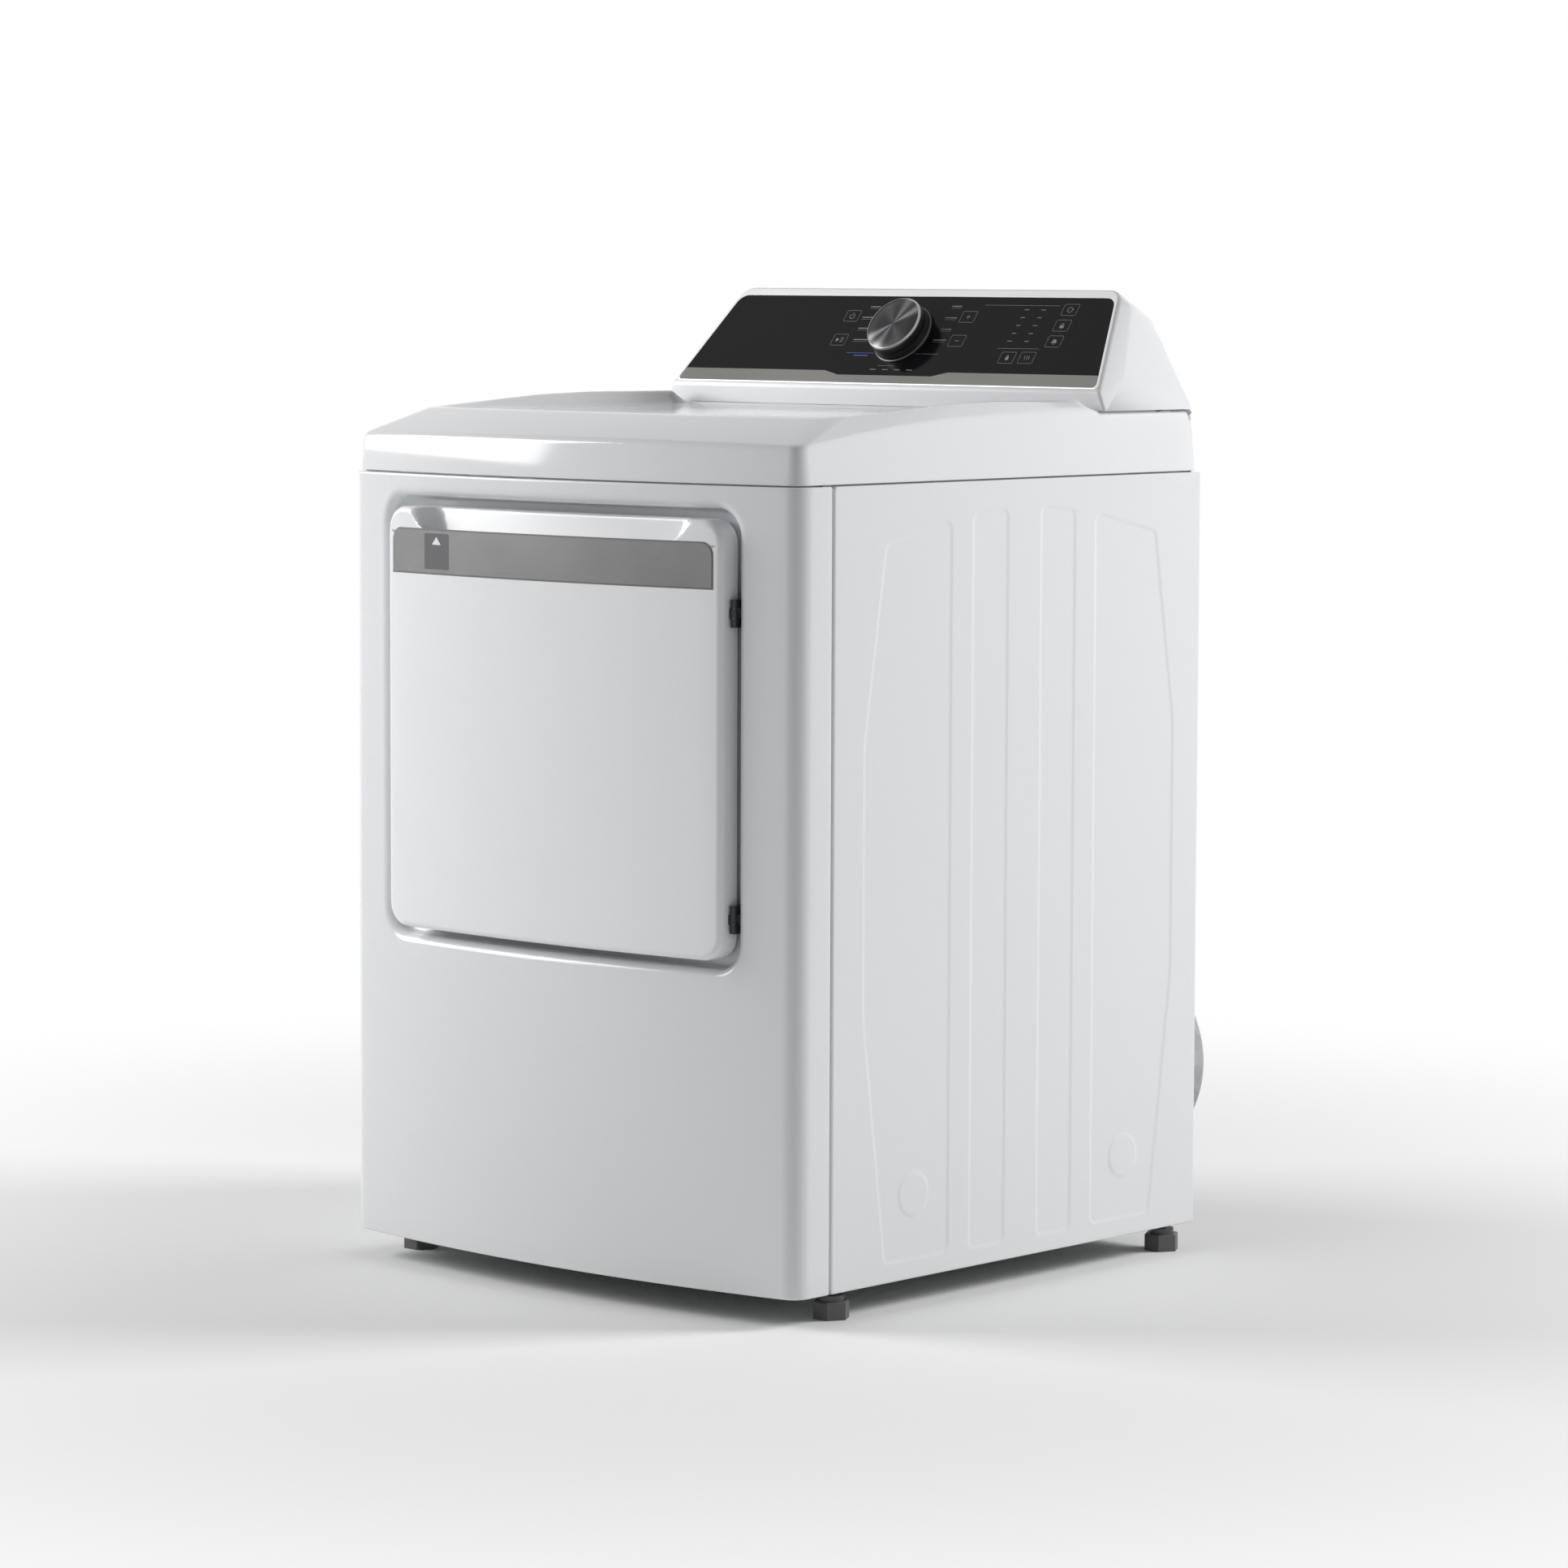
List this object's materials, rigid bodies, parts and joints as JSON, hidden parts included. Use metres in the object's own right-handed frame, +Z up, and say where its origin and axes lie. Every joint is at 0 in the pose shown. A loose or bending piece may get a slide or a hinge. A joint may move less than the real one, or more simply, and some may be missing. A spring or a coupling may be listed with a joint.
{
  "type": "clothes dryer",
  "caption": "Free-standing clothes dryer with a bowed white cabinet, side-hinged front door, sunk top tray and a tilted rear control console with a round selector knob.",
  "frame": {"origin": "on the floor, under the middle of the whole object's box", "axes": "+Z up, the front faces -Y, +X to the right seen from the front"},
  "size_m": [0.686, 0.78, 1.1102],
  "materials": {
    "cabinet_white": "gloss white enamel",
    "cover_white": "gloss white moulding",
    "liner_white": "satin white moulding",
    "console_silver": "satin silver trim",
    "console_black": "black gloss face",
    "knob_metal": "spun dark metal",
    "strip_grey": "brushed grey metal",
    "galvanised": "galvanised sheet",
    "drum_steel": "grey powder coat",
    "baffle_grey": "grey moulding",
    "felt_grey": "felt",
    "seal_grey": "soft seal",
    "black_metal": "black paint",
    "bright_steel": "plated steel",
    "heater_wire": "heat-tinted wire",
    "black_plastic": "black moulding",
    "black_rubber": "rubber",
    "board_green": "circuit board"
  },
  "bodies": {
    "cabinet": {"front_panel": "cabinet_white", "right_side_panel": "cabinet_white", "left_side_panel": "cabinet_white", "rear_panel": "galvanised", "base_pan": "galvanised", "top_cover": "cover_white", "front_bulkhead": "galvanised", "drum_back_plate": "galvanised", "door_throat": "liner_white", "drum_seals": "felt_grey", "console_housing": "cover_white", "console_bezel": "console_silver", "control_panel": "console_black", "control_board": "board_green", "selector_encoder": "black_plastic", "door_switch_body": "black_plastic", "door_catch": "black_plastic", "hinge_cabinet_leaves": "black_metal", "hinge_pins": "bright_steel", "lint_chute": "baffle_grey", "blower_housing": "baffle_grey", "exhaust_duct": "galvanised", "exhaust_collar": "galvanised", "heater_housing": "galvanised", "heater_coil": "heater_wire", "rear_duct_cover": "galvanised", "motor_body": "black_metal", "motor_bracket": "galvanised", "roller_shafts": "bright_steel", "drive_belt": "black_rubber", "terminal_block": "black_plastic", "terminal_cover": "galvanised", "cabinet_screws": "bright_steel", "moisture_sensor": "bright_steel"},
    "door": {"door_outer_panel": "cabinet_white", "door_strip": "strip_grey", "door_inner_liner": "liner_white", "door_seal": "seal_grey", "door_strike": "bright_steel", "hinge_door_leaves": "black_metal", "door_screws": "bright_steel"},
    "drum": {"drum_shell": "drum_steel", "drum_baffles": "baffle_grey"},
    "motor_rotor": {"motor_shaft": "bright_steel", "blower_wheel": "baffle_grey"},
    "idler_arm": {"idler_arm": "black_metal", "idler_spring": "bright_steel"},
    "idler_pulley": {"idler_pulley": "baffle_grey"},
    "lint_filter": {"lint_filter": "baffle_grey"},
    "selector": {"selector_knob": "knob_metal", "encoder_shaft": "bright_steel"},
    "door_switch_plunger": {"door_switch_plunger": "black_plastic"},
    "drum_roller_front_left": {"drum_roller_front_left": "black_rubber"},
    "drum_roller_front_right": {"drum_roller_front_right": "black_rubber"},
    "drum_roller_rear_left": {"drum_roller_rear_left": "black_rubber"},
    "drum_roller_rear_right": {"drum_roller_rear_right": "black_rubber"},
    "foot_front_left": {"foot_front_left": "black_plastic"},
    "foot_front_right": {"foot_front_right": "black_plastic"},
    "foot_rear_left": {"foot_rear_left": "black_plastic"},
    "foot_rear_right": {"foot_rear_right": "black_plastic"}
  },
  "joints": [
    {"name": "door_hinge", "type": "hinge", "parent": "cabinet", "child": "door", "pos_m": [0.2595, -0.355, 0.6], "axis": [0, 0, 1], "range_deg": [0, 110]},
    {"name": "door_switch_press", "type": "slide", "parent": "cabinet", "child": "door_switch_plunger", "axis": [0, -1, 0], "range_m": [0, 0.004]},
    {"name": "selector_turn", "type": "hinge", "parent": "cabinet", "child": "selector", "pos_m": [0, 0.22235, 1.05471], "axis": [0, -0.8129, 0.5824], "continuous": true},
    {"name": "drum_spin", "type": "hinge", "parent": "cabinet", "child": "drum", "pos_m": [0, 0, 0.565], "axis": [0, 1, 0], "continuous": true},
    {"name": "motor_spin", "type": "hinge", "parent": "cabinet", "child": "motor_rotor", "pos_m": [0.04, 0, 0.137], "axis": [0, 1, 0], "continuous": true},
    {"name": "idler_swing", "type": "hinge", "parent": "cabinet", "child": "idler_arm", "pos_m": [-0.01, -0.018, 0.062], "axis": [0, -1, 0], "range_deg": [0, 6], "stiffness_Nm_per_rad": 6, "springref_deg": -14.32, "deforming": ["idler_spring"]},
    {"name": "idler_spin", "type": "hinge", "parent": "idler_arm", "child": "idler_pulley", "pos_m": [-0.035, -0.028, 0.185], "axis": [0, 1, 0], "continuous": true},
    {"name": "lint_filter_pull", "type": "slide", "parent": "cabinet", "child": "lint_filter", "axis": [0, 0, 1], "range_m": [0, 0.13]},
    {"name": "roller_spin_front_left", "type": "hinge", "parent": "cabinet", "child": "drum_roller_front_left", "pos_m": [-0.27218, -0.2425, 0.33662], "axis": [0, 1, 0], "continuous": true},
    {"name": "roller_spin_front_right", "type": "hinge", "parent": "cabinet", "child": "drum_roller_front_right", "pos_m": [0.27218, -0.2425, 0.33662], "axis": [0, 1, 0], "continuous": true},
    {"name": "roller_spin_rear_left", "type": "hinge", "parent": "cabinet", "child": "drum_roller_rear_left", "pos_m": [-0.27218, 0.3025, 0.33662], "axis": [0, 1, 0], "continuous": true},
    {"name": "roller_spin_rear_right", "type": "hinge", "parent": "cabinet", "child": "drum_roller_rear_right", "pos_m": [0.27218, 0.3025, 0.33662], "axis": [0, 1, 0], "continuous": true},
    {"name": "foot_turn_front_left", "type": "hinge", "parent": "cabinet", "child": "foot_front_left", "pos_m": [-0.318, -0.26, 0.02], "axis": [0, 0, 1], "continuous": true},
    {"name": "foot_turn_front_right", "type": "hinge", "parent": "cabinet", "child": "foot_front_right", "pos_m": [0.318, -0.26, 0.02], "axis": [0, 0, 1], "continuous": true},
    {"name": "foot_turn_rear_left", "type": "hinge", "parent": "cabinet", "child": "foot_rear_left", "pos_m": [-0.318, 0.318, 0.02], "axis": [0, 0, 1], "continuous": true},
    {"name": "foot_turn_rear_right", "type": "hinge", "parent": "cabinet", "child": "foot_rear_right", "pos_m": [0.318, 0.318, 0.02], "axis": [0, 0, 1], "continuous": true}
  ],
  "couplings": [
    {"joint": "door_switch_press", "follows": "door_hinge", "m_per_rad": 0.0020835},
    {"joint": "motor_spin", "follows": "drum_spin", "ratio": 25.822},
    {"joint": "idler_spin", "follows": "drum_spin", "ratio": -15.088},
    {"joint": "roller_spin_front_left", "follows": "drum_spin", "ratio": -10.833},
    {"joint": "roller_spin_front_right", "follows": "drum_spin", "ratio": -10.833},
    {"joint": "roller_spin_rear_left", "follows": "drum_spin", "ratio": -10.833},
    {"joint": "roller_spin_rear_right", "follows": "drum_spin", "ratio": -10.833}
  ]
}
